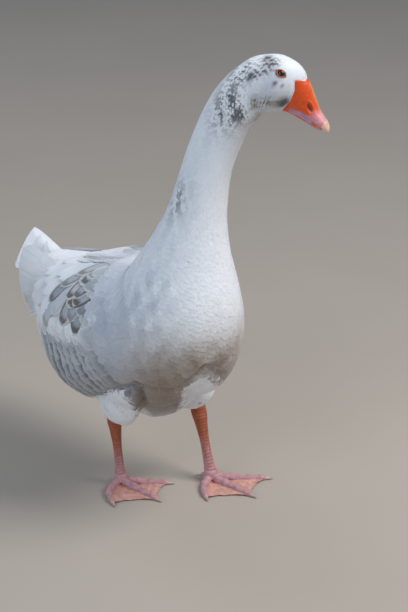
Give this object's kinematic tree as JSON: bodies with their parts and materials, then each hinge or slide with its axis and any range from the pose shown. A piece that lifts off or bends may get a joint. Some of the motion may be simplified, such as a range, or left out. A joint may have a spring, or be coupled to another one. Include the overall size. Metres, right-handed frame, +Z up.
{
  "type": "domestic goose",
  "caption": "Life-size still model of a standing domestic goose with folded wings, long upright neck, head turned to its left, orange bill and webbed feet.",
  "frame": {"origin": "on the floor, under the middle of the whole goose", "axes": "+Z up, -Y the way the body faces, +X to the goose's own left"},
  "size_m": [0.3322, 0.6678, 0.7817],
  "materials": {
    "body_plumage": "soft, matt body feathers, white over the breast and beige grey below",
    "neck_plumage": "soft, matt white feathers with grey brown flecks",
    "tail_feathers": "smooth white vanes",
    "wing_feathers": "smooth grey vanes with brown centres and white edges",
    "thigh_plumage": "soft white down",
    "bill_skin": "satin orange horny skin",
    "nail_horn": "satin pale horn",
    "eye_cornea": "wet gloss",
    "shank_scales": "satin scaly skin",
    "foot_skin": "satin scaly skin",
    "claw_horn": "satin horn"
  },
  "bodies": {
    "root": {"torso": "body_plumage", "neck": "neck_plumage", "head": "neck_plumage", "tail": "tail_feathers", "wing_left": "wing_feathers", "wing_right": "wing_feathers", "thigh_left": "thigh_plumage", "thigh_right": "thigh_plumage", "bill_upper": "bill_skin", "bill_lower": "bill_skin", "bill_nail": "nail_horn", "eye_left": "eye_cornea", "eye_right": "eye_cornea", "shank_left": "shank_scales", "shank_right": "shank_scales", "foot_left": "foot_skin", "foot_right": "foot_skin", "claw_left_inner": "claw_horn", "claw_left_middle": "claw_horn", "claw_left_outer": "claw_horn", "claw_left_hind": "claw_horn", "claw_right_inner": "claw_horn", "claw_right_middle": "claw_horn", "claw_right_outer": "claw_horn", "claw_right_hind": "claw_horn"}
  },
  "joints": []
}
